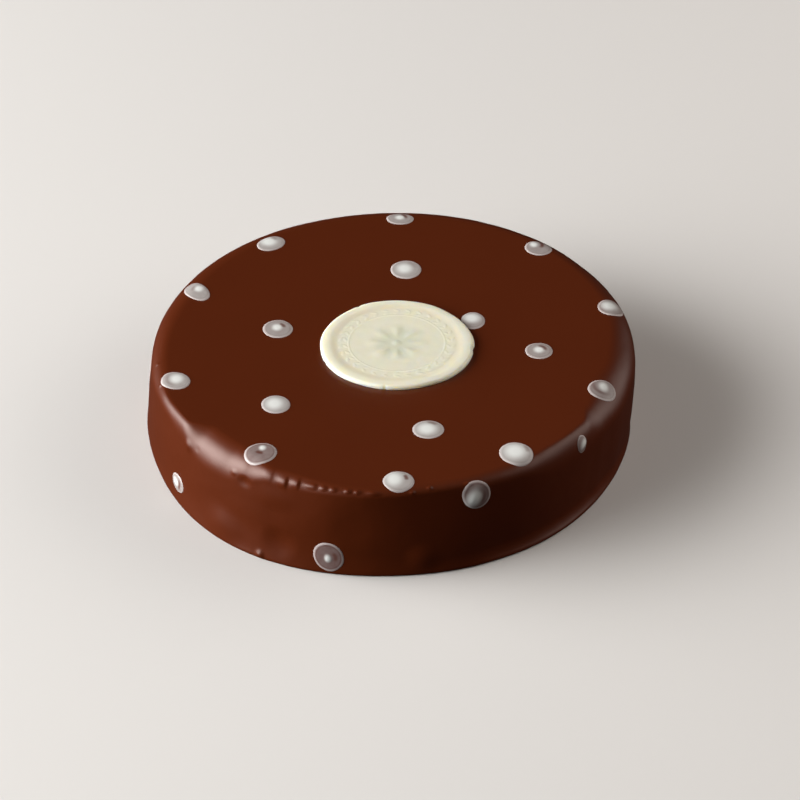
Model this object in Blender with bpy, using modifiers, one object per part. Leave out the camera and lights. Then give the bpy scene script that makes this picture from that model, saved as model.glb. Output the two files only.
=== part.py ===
"""A round torte under a poured chocolate glaze, with white dots of glaze on it and a cream seal on top.

Metres, +Z up. The origin is the middle of the flat underside, and -Y is the side that faces the viewer.
An azimuth is in degrees, anticlockwise from +X as seen from above. A reach is a distance along the glaze:
out from the middle of the top, over the shoulder and down the side.
"""

import math
from functools import lru_cache

import bmesh
import bpy
import numpy as np
from mathutils import Vector

MM = 0.001

# The torte with its glaze
TOP_RADIUS = 100 * MM  # where the side would meet the top without a shoulder
BASE_RADIUS = 102.1 * MM
HEIGHT = 42.2 * MM
LEAN = 1.35 * MM  # the top sits this far towards +X, and the base as far towards -X
SHOULDER_POWER = 2.2  # 2 is an ellipse, and more is a squarer shoulder
FOOT_ROUND = 1 * MM
FOOT_FADE = 3 * MM  # lumps die away below this height, so that the underside stays flat
TURN_STEPS = 144
TOP_RINGS = 3  # rings of faces on the flat of the top, and so on down the side
SHOULDER_RINGS = 8
SIDE_RINGS = 9
FOOT_RINGS = 2
LINE_STEPS = 40  # steps along the shoulder, and along the side, where the glaze's line is measured

# Slow waves round the outline: (how many, size, azimuth of one crest)
TOP_WAVES = ((2, 1.1 * MM, 49), (3, 0.25 * MM, 112), (4, 0.2 * MM, 37), (5, 0.2 * MM, 67))
TOP_BULGES = ((261, 18, 1.7 * MM), (284, 13, -0.9 * MM))  # azimuth, half arc in degrees, rise
BASE_WAVES = ((2, 0.55 * MM, 111), (3, 0.8 * MM, 8), (4, 0.3 * MM, 58), (5, 0.8 * MM, 17))

# The section changes slowly round the torte. At an azimuth: how far in from the side the top starts to fall,
# how far down the side the shoulder ends, the belly of the side, the flare of the foot, and its height
SECTIONS = (
    (20, 9 * MM, 7 * MM, 0.6 * MM, 0.5 * MM, 8 * MM),
    (60, 8 * MM, 6 * MM, 0.5 * MM, 0.6 * MM, 8 * MM),
    (110, 8 * MM, 6 * MM, 0.5 * MM, 0.5 * MM, 8 * MM),
    (160, 9 * MM, 7 * MM, 0.5 * MM, 0.5 * MM, 8 * MM),
    (190, 7 * MM, 6 * MM, 0.4 * MM, 0.4 * MM, 8 * MM),
    (203, 3.5 * MM, 5.5 * MM, 0.3 * MM, 0.6 * MM, 10 * MM),
    (213, 3.5 * MM, 7.5 * MM, 0.3 * MM, 1.0 * MM, 14 * MM),
    (220, 11 * MM, 12.8 * MM, 0.3 * MM, 1.2 * MM, 14 * MM),
    (229, 10.5 * MM, 12.8 * MM, 0.4 * MM, 2.1 * MM, 16 * MM),
    (235, 7.5 * MM, 8.6 * MM, 0.5 * MM, 2.1 * MM, 16 * MM),
    (241, 5 * MM, 5.5 * MM, 0.6 * MM, 2.1 * MM, 16 * MM),
    (262, 3.8 * MM, 3.2 * MM, 0.8 * MM, 1.5 * MM, 12 * MM),
    (282, 4 * MM, 2.8 * MM, 0.9 * MM, 0.8 * MM, 8 * MM),
    (299, 5.5 * MM, 5.5 * MM, 0.7 * MM, 2.8 * MM, 7 * MM),
    (316, 5.5 * MM, 13 * MM, 0.5 * MM, 3.3 * MM, 7 * MM),
    (324, 5.5 * MM, 12 * MM, 0.5 * MM, 3.2 * MM, 7 * MM),
    (330, 10 * MM, 10.5 * MM, 0.6 * MM, 2.8 * MM, 7 * MM),
    (341, 15 * MM, 10.5 * MM, 0.9 * MM, 2.0 * MM, 7 * MM),
    (352, 12 * MM, 9.5 * MM, 0.9 * MM, 0.8 * MM, 8 * MM),
)

# Lumps and hollows in the glaze: (azimuth, reach, radius, rise)
LUMPS = (
    (75, 112 * MM, 12 * MM, -0.5 * MM),
    (120, 132 * MM, 9 * MM, 0.7 * MM),
    (160, 116 * MM, 13 * MM, -0.5 * MM),
    (217, 106 * MM, 4 * MM, 0.4 * MM),
    (229.5, 131 * MM, 12 * MM, 0.9 * MM),
    (235, 107 * MM, 4.5 * MM, -0.5 * MM),
    (243, 110.5 * MM, 9 * MM, 0.45 * MM),
    (245, 101 * MM, 5 * MM, 0.5 * MM),
    (245, 131 * MM, 9 * MM, -0.7 * MM),
    (262, 117 * MM, 13 * MM, -0.4 * MM),
    (278, 132 * MM, 9 * MM, 0.8 * MM),
)

# White dots: (azimuth, reach, width, length, degrees that the length is turned from straight down the slope).
# The last five are on the side that faces away from the viewer.
DOTS = (
    (88.2, 90.9 * MM, 11.8 * MM, 8.7 * MM, 0),
    (126.2, 89 * MM, 12.9 * MM, 10.2 * MM, 0),
    (47.7, 92.4 * MM, 12 * MM, 10.9 * MM, -8),
    (84.1, 52.3 * MM, 13.1 * MM, 13.6 * MM, -5),
    (156.5, 90.3 * MM, 9.6 * MM, 15.2 * MM, 34),
    (15, 94.6 * MM, 12 * MM, 11.5 * MM, 7),
    (169.7, 48.6 * MM, 12.4 * MM, 12.9 * MM, 58),
    (23.8, 36.3 * MM, 12.2 * MM, 10 * MM, 27),
    (353.5, 60.4 * MM, 11.2 * MM, 11.4 * MM, 8),
    (197.3, 92.7 * MM, 11.3 * MM, 12.7 * MM, 55),
    (338.9, 91.2 * MM, 12.6 * MM, 12.1 * MM, 16),
    (222.8, 64.3 * MM, 12.2 * MM, 11.6 * MM, 23),
    (283.2, 62.1 * MM, 12.6 * MM, 12 * MM, 9),
    (235.4, 92.2 * MM, 12.5 * MM, 13.7 * MM, 5),
    (302.7, 90.4 * MM, 13.3 * MM, 14.6 * MM, 8),
    (271.4, 93.9 * MM, 12.4 * MM, 12.5 * MM, 0),
    (289.6, 104.3 * MM, 11.4 * MM, 13.3 * MM, -28),
    (320.5, 101.3 * MM, 5.5 * MM, 7.4 * MM, 5),
    (256.8, 134.2 * MM, 11.9 * MM, 14.5 * MM, -30),
    (212, 132 * MM, 9.9 * MM, 8.2 * MM, 0),
    (178, 112 * MM, 11 * MM, 12 * MM, 10),
    (141, 126 * MM, 12 * MM, 13 * MM, -15),
    (104, 108 * MM, 12 * MM, 12 * MM, 0),
    (66, 128 * MM, 10 * MM, 11 * MM, 20),
    (28, 117 * MM, 12 * MM, 13 * MM, -10),
)
DOT_GAP = 0.3 * MM
DOT_HEIGHT = 0.6 * MM
DOT_EDGE = 0.3 * MM  # how thick a dot still is at its edge
DOT_STEPS = 14
DOT_RINGS = 6  # from the middle of its face, round the edge, to the middle of its back

# The seal, cast in white chocolate: a raised rim round a sunken plate with a rosette
SEAL_CENTRE = Vector((2.9 * MM, -3.5 * MM, 0))
SEAL_GAP = 0.3 * MM
SEAL_EDGE_GAP = 0.8 * MM  # between its mean radius and a dot that runs up to it
SEAL_RADIUS = 31.2 * MM
SEAL_CREST = 28.2 * MM  # radius of the rim's highest line
SEAL_BROW = 30 * MM  # where the rim turns down to its outer wall
SEAL_PLATE = 24.2 * MM  # radius of the plate
SEAL_HEIGHT = 2 * MM
PLATE_HEIGHT = 1.7 * MM
SEAL_STEPS = 64
SEAL_WAVES = ((2, 0.5 * MM, 0), (3, 0.25 * MM, 100), (7, 0.12 * MM, 10))
SEAL_NICKS = ((122, 4, 0.5 * MM), (261, 4, 0.3 * MM), (354, 4, 0.5 * MM))  # (azimuth, half arc, depth)
PETALS = 8
PETAL_INNER = 3 * MM
PETAL_OUTER = 14 * MM
PETAL_RINGS = 6
PETAL_RISE = 0.3 * MM

GLAZE_COLOUR = (0.075, 0.022, 0.009)
DOT_COLOUR = (0.60, 0.55, 0.52)
SEAL_COLOUR = (0.80, 0.74, 0.58)


def clear_scene():
    for obj in list(bpy.data.objects):
        bpy.data.objects.remove(obj, do_unlink=True)


def new_collection(name):
    collection = bpy.data.collections.new(name)
    bpy.context.scene.collection.children.link(collection)
    return collection


def new_material(name, colour, roughness):
    material = bpy.data.materials.new(name)
    material.use_nodes = True
    shader = material.node_tree.nodes["Principled BSDF"]
    shader.inputs["Base Color"].default_value = (*colour, 1)
    shader.inputs["Roughness"].default_value = roughness
    shader.inputs["Metallic"].default_value = 0
    return material


def object_from(bm, name, collection):
    mesh = bpy.data.meshes.new(name)
    bm.to_mesh(mesh)
    bm.free()
    obj = bpy.data.objects.new(name, mesh)
    collection.objects.link(obj)
    return obj


def finish(obj, material):
    obj.data.materials.clear()
    obj.data.materials.append(material)
    obj.data.shade_smooth()
    obj.data.set_sharp_from_angle(angle=math.radians(50))


def turned(name, profile, steps, collection):
    """A solid of revolution. Its profile runs from the axis at the top, down the outside, to the axis."""
    bm = bmesh.new()
    points = [bm.verts.new((radius, 0, height)) for radius, height in profile]
    for upper, lower in zip(points, points[1:]):
        bm.edges.new((upper, lower))
    blank = object_from(bm, name + "_profile", collection)
    screw = blank.modifiers.new("turn", "SCREW")
    screw.steps = screw.render_steps = steps
    screw.use_merge_vertices = True
    screw.merge_threshold = 0.01 * MM
    seen = blank.evaluated_get(bpy.context.evaluated_depsgraph_get())
    obj = bpy.data.objects.new(name, bpy.data.meshes.new_from_object(seen))
    bpy.data.objects.remove(blank, do_unlink=True)
    collection.objects.link(obj)
    return obj


def circle(azimuth):
    """The unit vector that points out at an azimuth."""
    turn = math.radians(azimuth)
    return Vector((math.cos(turn), math.sin(turn), 0))


def bump(distance, width):
    """1 at no distance, falling smoothly to 0 at the width."""
    share = min(abs(distance) / width, 1)
    return 0.5 + 0.5 * math.cos(math.pi * share)


def arc_between(azimuth, other):
    return (azimuth - other + 180) % 360 - 180


def waves(table, azimuth):
    return sum(size * math.cos(count * math.radians(azimuth - crest)) for count, size, crest in table)


def section(azimuth):
    """A section's inset, drop, belly, flare and flare's height at an azimuth, eased between those given."""
    azimuth %= 360
    first, last = SECTIONS[0], SECTIONS[-1]
    rows = [(last[0] - 360, *last[1:]), *SECTIONS, (first[0] + 360, *first[1:])]
    for before, after in zip(rows, rows[1:]):
        if before[0] <= azimuth < after[0]:
            share = (azimuth - before[0]) / (after[0] - before[0])
            ease = 0.5 - 0.5 * math.cos(math.pi * share)
            return [old + (new - old) * ease for old, new in zip(before[1:], after[1:])]


def side_radius(azimuth, height):
    """How far out the side is at an azimuth and a height, without lean or lumps."""
    _, _, belly, flare, flare_height = section(azimuth)
    level = height / HEIGHT
    base = BASE_RADIUS + waves(BASE_WAVES, azimuth) - flare
    bulge = sum(size * bump(arc_between(azimuth, at), arc) for at, arc, size in TOP_BULGES)
    top = TOP_RADIUS + waves(TOP_WAVES, azimuth) + bulge
    foot = flare * max(1 - height / flare_height, 0) ** 2
    return base * (1 - level) + top * level + belly * math.sin(math.pi * level) + foot


def shoulder_point(azimuth, share):
    """Radius and height on the shoulder, which runs from the top at a share of 0 to the side at 1."""
    inset, drop, *_ = section(azimuth)
    turn = share * math.pi / 2
    height = HEIGHT - drop * (1 - math.cos(turn) ** (2 / SHOULDER_POWER))
    return side_radius(azimuth, height) - inset * (1 - math.sin(turn) ** (2 / SHOULDER_POWER)), height


def foot_point(azimuth, share):
    turn = share * math.pi / 2
    inset = FOOT_ROUND * (1 - math.cos(turn))
    return side_radius(azimuth, FOOT_ROUND) - inset, FOOT_ROUND * (1 - math.sin(turn))


def side_point(azimuth, share, foot):
    """Radius and height on the side, from the shoulder's end at a share of 0 to the foot's height at 1."""
    _, drop, *_ = section(azimuth)
    height = foot + (HEIGHT - drop - foot) * (1 - share)
    return side_radius(azimuth, height), height


@lru_cache(maxsize=None)
def glaze_line(azimuth):
    """The plain glaze from the middle of the top to the base: arrays of reach, radius, height and tilt."""
    shoulder = [shoulder_point(azimuth, step / LINE_STEPS) for step in range(LINE_STEPS)]
    side = [side_point(azimuth, step / LINE_STEPS, 0) for step in range(LINE_STEPS + 1)]
    radius, height = np.array([(0, HEIGHT), *shoulder, *side]).T
    reach = np.concatenate([[0], np.cumsum(np.hypot(np.diff(radius), np.diff(height)))])
    tilt = np.arctan2(-np.gradient(height, reach), np.gradient(radius, reach))
    tilt[0] = 0
    return reach, radius, height, tilt


def plain_point(azimuth, radius, height):
    """A point of the glaze before its lumps: the higher it is, the further it leans towards +X."""
    return circle(azimuth) * radius + Vector((LEAN * (2 * height / HEIGHT - 1), 0, height))


def read_line(azimuth, reach):
    """Radius, height and tilt of the plain glaze at a reach."""
    along, *lines = glaze_line(azimuth)
    return [float(np.interp(reach, along, line)) for line in lines]


@lru_cache(maxsize=None)
def lump_centre(azimuth, reach):
    radius, height, _ = read_line(azimuth, reach)
    return plain_point(azimuth, radius, height)


def lifted(azimuth, radius, height, tilt, lift=0.0):
    """Where a point of the plain glaze comes to lie once the lumps are in, or a lift above that."""
    point = plain_point(azimuth, radius, height)
    swell = 0
    for at, reach, spread, rise in LUMPS:
        swell += rise * bump((point - lump_centre(at, reach)).length, spread)
    normal = circle(azimuth) * math.sin(tilt) + Vector((0, 0, math.cos(tilt)))
    return point + normal * (swell * min(height / FOOT_FADE, 1) + lift)


def on_glaze(azimuth, reach, lift=0.0):
    return lifted(azimuth, *read_line(azimuth, reach), lift)


def beside(azimuth, reach, across, down):
    """The azimuth and reach of a point that lies across and down the glaze from another."""
    radius, _, _ = read_line(azimuth, reach)
    sideways = across * reach / radius
    forward = reach + down
    return azimuth + math.degrees(math.atan2(sideways, forward)), math.hypot(sideways, forward)


def torte_profile(azimuth):
    """Radius and height of each ring at an azimuth, from the middle of the top to that of the underside."""
    flat, _ = shoulder_point(azimuth, 0)
    rings = [(flat * (step / TOP_RINGS) ** 0.5, HEIGHT) for step in range(TOP_RINGS)]
    rings += [shoulder_point(azimuth, step / SHOULDER_RINGS) for step in range(SHOULDER_RINGS)]
    rings += [side_point(azimuth, step / SIDE_RINGS, FOOT_ROUND) for step in range(SIDE_RINGS)]
    rings += [foot_point(azimuth, step / FOOT_RINGS) for step in range(FOOT_RINGS + 1)]
    return rings + [(0, 0)]


def make_torte(material, collection):
    """A blank turned to the section at azimuth 0, whose rings are then moved to the true sections."""
    blank = torte_profile(0)
    torte = turned("torte_body", blank, TURN_STEPS, collection)
    for vertex in torte.data.vertices:
        place = (math.hypot(vertex.co.x, vertex.co.y), vertex.co.z)
        ring = min(range(len(blank)), key=lambda number: math.dist(blank[number], place))
        azimuth = round(math.degrees(math.atan2(vertex.co.y, vertex.co.x)), 3)
        radius, height = torte_profile(azimuth)[ring]
        _, radii, heights, tilts = glaze_line(azimuth)
        tilt = float(np.interp(radius - height, radii - heights, tilts))
        vertex.co = lifted(azimuth, radius, height, tilt)
    finish(torte, material)


def clear_of_seal(point):
    """The point, or the nearest one at the edge of the seal, where a dot that runs up to the seal ends."""
    away = Vector((point.x - SEAL_CENTRE.x, point.y - SEAL_CENTRE.y, 0))
    edge = SEAL_RADIUS + SEAL_EDGE_GAP
    return point if away.length > edge else point + away.normalized() * (edge - away.length)


def make_dot(name, dot, material, collection):
    """A drop of glaze: a ball pressed flat onto the torte, with a low dome for its upper half."""
    azimuth, reach, width, length, turn = dot
    bm = bmesh.new()
    bmesh.ops.create_uvsphere(bm, u_segments=DOT_STEPS, v_segments=DOT_RINGS, radius=1)
    cos, sin = math.cos(math.radians(turn)), math.sin(math.radians(turn))
    for vertex in bm.verts:
        wide, long, up = vertex.co.x * width / 2, -vertex.co.y * length / 2, vertex.co.z
        thickness = DOT_EDGE + (DOT_HEIGHT - DOT_EDGE) * up if up > -0.01 else 0
        at, along = beside(azimuth, reach, wide * cos - long * sin, wide * sin + long * cos)
        vertex.co = clear_of_seal(on_glaze(at, along, DOT_GAP + thickness))
    dot = object_from(bm, name, collection)
    finish(dot, material)


def rosette(azimuth, radius):
    """The petals' rise above the plate."""
    middle = (PETAL_INNER + PETAL_OUTER) / 2
    along = bump(radius - middle, (PETAL_OUTER - PETAL_INNER) / 2)
    across = 0.5 + 0.5 * math.cos(PETALS * math.radians(azimuth))
    return PETAL_RISE * along * across


def seal_profile():
    """Radius and height from the middle of the rosette, over the rim and round to the middle of the back."""
    boss = [(0, PLATE_HEIGHT + PETAL_RISE), (0.6 * PETAL_INNER, PLATE_HEIGHT + 0.8 * PETAL_RISE)]
    spacing = (PETAL_OUTER - PETAL_INNER) / PETAL_RINGS
    petals = [(PETAL_INNER + spacing * step, PLATE_HEIGHT) for step in range(PETAL_RINGS + 1)]
    wall = SEAL_CREST - SEAL_PLATE
    rim = [
        (SEAL_PLATE, PLATE_HEIGHT),
        (SEAL_PLATE + 0.5 * wall, 0.5 * (PLATE_HEIGHT + SEAL_HEIGHT)),
        (SEAL_CREST, SEAL_HEIGHT),
        (SEAL_BROW, 0.95 * SEAL_HEIGHT),
        (0.3 * SEAL_BROW + 0.7 * SEAL_RADIUS, 0.7 * SEAL_HEIGHT),
        (SEAL_RADIUS, 0.2 * SEAL_HEIGHT),
        (SEAL_RADIUS - 0.5 * MM, 0),
    ]
    return boss + petals + rim + [(0, 0)]


def make_seal(material, collection):
    seal = turned("cream_seal", seal_profile(), SEAL_STEPS, collection)
    foot = SEAL_CENTRE + Vector((0, 0, HEIGHT + SEAL_GAP))
    for vertex in seal.data.vertices:
        radius, height = math.hypot(vertex.co.x, vertex.co.y), vertex.co.z
        azimuth = math.degrees(math.atan2(vertex.co.y, vertex.co.x))
        if height > 0.5 * PLATE_HEIGHT and PETAL_INNER < radius < PETAL_OUTER:
            height += rosette(azimuth, radius)
        nick = sum(depth * bump(arc_between(azimuth, at), 2 * arc) for at, arc, depth in SEAL_NICKS)
        uneven = (waves(SEAL_WAVES, azimuth) - nick) * (radius / SEAL_RADIUS) ** 8
        vertex.co = foot + circle(azimuth) * (radius + uneven) + Vector((0, 0, height))
    finish(seal, material)


def main():
    clear_scene()
    collection = new_collection("torte")
    make_torte(new_material("chocolate_glaze", GLAZE_COLOUR, 0.25), collection)
    make_seal(new_material("white_chocolate", SEAL_COLOUR, 0.4), collection)
    dot_material = new_material("white_glaze", DOT_COLOUR, 0.3)
    for number, dot in enumerate(DOTS, 1):
        make_dot(f"white_dot_{number:02d}", dot, dot_material, collection)


if __name__ == "__main__":
    main()
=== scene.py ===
# A round chocolate torte with white dots and a cream seal: its looks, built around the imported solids.
# Metres, +Z up. -Y faces the viewer. An azimuth is in degrees, anticlockwise from +X as seen from above,
# and a reach is a distance along the glaze: out from the middle of the top, over the shoulder, down the side.
import math

import bpy
import numpy as np
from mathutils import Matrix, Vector


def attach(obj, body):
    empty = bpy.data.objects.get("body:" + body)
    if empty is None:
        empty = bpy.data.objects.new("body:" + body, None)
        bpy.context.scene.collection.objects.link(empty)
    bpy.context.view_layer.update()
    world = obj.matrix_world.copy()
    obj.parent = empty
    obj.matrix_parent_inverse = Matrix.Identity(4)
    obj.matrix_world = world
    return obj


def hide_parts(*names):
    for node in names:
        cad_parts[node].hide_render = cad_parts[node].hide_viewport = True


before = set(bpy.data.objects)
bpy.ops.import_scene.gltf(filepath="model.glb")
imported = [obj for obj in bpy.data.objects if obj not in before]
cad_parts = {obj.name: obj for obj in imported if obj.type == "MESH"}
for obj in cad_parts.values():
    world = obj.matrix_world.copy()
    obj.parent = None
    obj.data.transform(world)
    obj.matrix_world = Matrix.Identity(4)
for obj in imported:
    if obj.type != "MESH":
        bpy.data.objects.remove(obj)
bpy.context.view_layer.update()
mm = 0.001
print("frame loaded:", len(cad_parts), "solids")


# Turns an sRGB hex colour to linear.
def linear(hexColour):
    parts = [int(hexColour[i:i + 2], 16) / 255 for i in (1, 3, 5)]
    return (*[c / 12.92 if c <= 0.04045 else ((c + 0.055) / 1.055) ** 2.4 for c in parts], 1.0)


# Adds a node. Inputs are given by name or number, each as a value, as the socket that feeds it,
# or as the node whose first output does.
def addNode(tree, kind, inputs=None, **settings):
    node = tree.nodes.new(kind)
    for name, value in settings.items():
        setattr(node, name, value)
    for key, value in (inputs or {}).items():
        socket = node.inputs[key]
        if isinstance(value, bpy.types.Node):
            value = value.outputs[0]
        if isinstance(value, bpy.types.NodeSocket):
            tree.links.new(value, socket)
        else:
            socket.default_value = value
    return node


def newObject(name, data):
    obj = bpy.data.objects.new(name, data)
    bpy.context.scene.collection.objects.link(obj)
    return obj


# The modifiers' result becomes the object's own plain mesh.
def settle(obj):
    seen = obj.evaluated_get(bpy.context.evaluated_depsgraph_get())
    mesh = bpy.data.meshes.new_from_object(seen)
    obj.modifiers.clear()
    obj.data = mesh
    mesh.shade_smooth()
    return obj


# Starts a Geometry Nodes tree with named inputs: {name: (socket type, value)}.
def newTree(name, inputs):
    tree = bpy.data.node_groups.new(name, "GeometryNodeTree")
    tree.is_modifier = True
    tree.interface.new_socket("Geometry", in_out="INPUT", socket_type="NodeSocketGeometry")
    for label, (kind, _) in inputs.items():
        tree.interface.new_socket(label, in_out="INPUT", socket_type=kind)
    tree.interface.new_socket("Geometry", in_out="OUTPUT", socket_type="NodeSocketGeometry")
    return tree, tree.nodes.new("NodeGroupInput").outputs


# Puts a tree on an object, with its inputs set by their sockets' identifiers.
def useTree(obj, tree, inputs):
    modifier = obj.modifiers.new(tree.name, "NODES")
    modifier.node_group = tree
    for item in tree.interface.items_tree:
        if item.in_out == "INPUT" and item.name in inputs:
            modifier[item.identifier] = inputs[item.name][1]


def endTree(tree, geometry, material):
    dressed = addNode(tree, "GeometryNodeSetMaterial", {"Geometry": geometry, "Material": material})
    addNode(tree, "NodeGroupOutput", {"Geometry": dressed})


# A closed mesh from rings of points: an array of (ring, step, xyz), and a pole at either end.
def polarMesh(name, top, rings, bottom):
    count, steps, _ = rings.shape
    points = np.concatenate([[top], rings.reshape(-1, 3), [bottom]])
    step = np.arange(steps)
    after = (step + 1) % steps
    faces = [(0, 1 + a, 1 + b) for a, b in zip(step.tolist(), after.tolist())]
    for ring in range(count - 1):
        upper, lower = 1 + ring * steps, 1 + (ring + 1) * steps
        faces += zip((upper + step).tolist(), (lower + step).tolist(),
                     (lower + after).tolist(), (upper + after).tolist())
    last, pole = 1 + (count - 1) * steps, len(points) - 1
    faces += [(pole, last + b, last + a) for a, b in zip(step.tolist(), after.tolist())]
    mesh = bpy.data.meshes.new(name)
    mesh.from_pydata(points.tolist(), [], faces)
    mesh.update()
    return mesh


# A map of a polar mesh: once round is 1 across, and the reaches, an array of (ring, step), run up it.
def mapReaches(mesh, azimuth, reaches):
    count, steps = reaches.shape
    corner = np.zeros(len(mesh.loops), np.int64)
    mesh.loops.foreach_get("vertex_index", corner)
    total = np.zeros(len(mesh.polygons), np.int64)
    mesh.polygons.foreach_get("loop_total", total)
    column = np.repeat(np.arange(len(total)), total) % steps  # every row of faces has a face for each step
    step = np.where((corner == 0) | (corner == count * steps + 1), column, (corner - 1) % steps)
    step = np.where((column == steps - 1) & (step == 0), steps, step)
    reach = np.concatenate([[0], reaches.ravel(), [reaches.max()]])[corner]
    layer = mesh.uv_layers.new(name="reachMap")
    around = np.append(azimuth, 360)[step] / 360
    layer.data.foreach_set("uv", np.stack([around, reach / torte["mapHeight"]], -1).ravel())


def setFloats(mesh, name, values):
    mesh.attributes.new(name, "FLOAT", "POINT").data.foreach_set("value", np.asarray(values, np.float32))


def setVectors(mesh, name, values):
    layer = mesh.attributes.new(name, "FLOAT_VECTOR", "POINT")
    layer.data.foreach_set("vector", np.asarray(values, np.float32).ravel())


# Starts a material, with its finish as {input of the shader: value}.
def newMaterial(name, finish):
    material = bpy.data.materials.new(name)
    material.use_nodes = True
    shader = material.node_tree.nodes["Principled BSDF"]
    for key, value in finish.items():
        shader.inputs[key].default_value = value
    return material, material.node_tree, shader


# 1 at no distance, falling smoothly to 0 at the width
def bump(distance, width):
    return 0.5 + 0.5 * np.cos(np.pi * np.clip(np.abs(distance) / width, 0, 1))


def waves(table, azimuth):
    return sum(size * np.cos(count * np.radians(azimuth - crest)) for count, size, crest in table)


# The camera has the photograph's view, fitted to the torte's outline.
camera = {
    "elevation": 36.68,
    "distance": 1470.9 * mm,
    "right": 4.19 * mm,
    "up": 9.56 * mm,
    "lens": 157.5,
    "sensor": 36,
    "clip": (0.05, 30),
}


def makeCamera():
    tilt = math.radians(camera["elevation"])
    back = Vector((0, -math.cos(tilt), math.sin(tilt)))
    up = Vector((0, math.sin(tilt), math.cos(tilt)))
    data = bpy.data.cameras.new("camera")
    data.lens = camera["lens"]
    data.sensor_width = camera["sensor"]
    data.clip_start, data.clip_end = camera["clip"]
    obj = newObject("camera", data)
    obj.location = back * camera["distance"] + up * camera["up"] + Vector((camera["right"], 0, 0))
    obj.rotation_euler = (math.pi / 2 - tilt, 0, 0)
    bpy.context.scene.camera = obj


makeCamera()


# The torte is one turned form whose section changes slowly round it.
torte = {
    "topRadius": 100 * mm,  # where the side would meet the top without a shoulder
    "baseRadius": 102.1 * mm,
    "height": 42.2 * mm,
    "lean": 1.35 * mm,  # the top sits this far towards +X, and the base as far towards -X
    "shoulderPower": 2.2,  # 2 is an ellipse, and more is a squarer shoulder
    "footRound": 1.0 * mm,
    "topWaves": ((2, 1.1 * mm, 49), (3, 0.25 * mm, 112), (4, 0.2 * mm, 37), (5, 0.2 * mm, 67)),
    "topBulges": ((261, 18, 1.7 * mm), (284, 13, -0.9 * mm)),  # azimuth, half arc in degrees, rise
    "baseWaves": ((2, 0.55 * mm, 111), (3, 0.8 * mm, 8), (4, 0.3 * mm, 58), (5, 0.8 * mm, 17)),
    # azimuth: shoulder's inset, shoulder's drop, belly of the side, flare of the foot, height of the flare
    "sections": (
        (20, 9 * mm, 7 * mm, 0.6 * mm, 0.5 * mm, 8 * mm),
        (60, 8 * mm, 6 * mm, 0.5 * mm, 0.6 * mm, 8 * mm),
        (110, 8 * mm, 6 * mm, 0.5 * mm, 0.5 * mm, 8 * mm),
        (160, 9 * mm, 7 * mm, 0.5 * mm, 0.5 * mm, 8 * mm),
        (190, 7 * mm, 6 * mm, 0.4 * mm, 0.4 * mm, 8 * mm),
        (203, 3.5 * mm, 5.5 * mm, 0.3 * mm, 0.6 * mm, 10 * mm),
        (213, 3.5 * mm, 7.5 * mm, 0.3 * mm, 1.0 * mm, 14 * mm),
        (220, 11 * mm, 12.8 * mm, 0.3 * mm, 1.2 * mm, 14 * mm),
        (229, 10.5 * mm, 12.8 * mm, 0.4 * mm, 2.1 * mm, 16 * mm),
        (235, 7.5 * mm, 8.6 * mm, 0.5 * mm, 2.1 * mm, 16 * mm),
        (241, 5 * mm, 5.5 * mm, 0.6 * mm, 2.1 * mm, 16 * mm),
        (262, 3.8 * mm, 3.2 * mm, 0.8 * mm, 1.5 * mm, 12 * mm),
        (282, 4 * mm, 2.8 * mm, 0.9 * mm, 0.8 * mm, 8 * mm),
        (299, 5.5 * mm, 5.5 * mm, 0.7 * mm, 2.8 * mm, 7 * mm),
        (316, 5.5 * mm, 13 * mm, 0.5 * mm, 3.3 * mm, 7 * mm),
        (324, 5.5 * mm, 12 * mm, 0.5 * mm, 3.2 * mm, 7 * mm),
        (330, 10 * mm, 10.5 * mm, 0.6 * mm, 2.8 * mm, 7 * mm),
        (341, 15 * mm, 10.5 * mm, 0.9 * mm, 2.0 * mm, 7 * mm),
        (352, 12 * mm, 9.5 * mm, 0.9 * mm, 0.8 * mm, 8 * mm),
    ),
    "lumpFade": 2 * mm,  # lumps die away below this height, so that the underside stays flat
    "rippleFade": 0.05,  # the skin's ripples die away below this share of the height
    "levelTop": 0.9,  # and where the glaze is flatter than this: the upright part of its normal
    "mapHeight": 250 * mm,  # the reach that is 1 on the glaze's map
    "steps": 1080,
    "closeSteps": (238, 292, 0.22),  # from and to these azimuths, where the edge is beaded: their share
    "topRings": 12,
    "shoulderRings": 36,
    "sideRings": 39,
    "footRings": 4,
    "undersideRings": 2,
}

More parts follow.
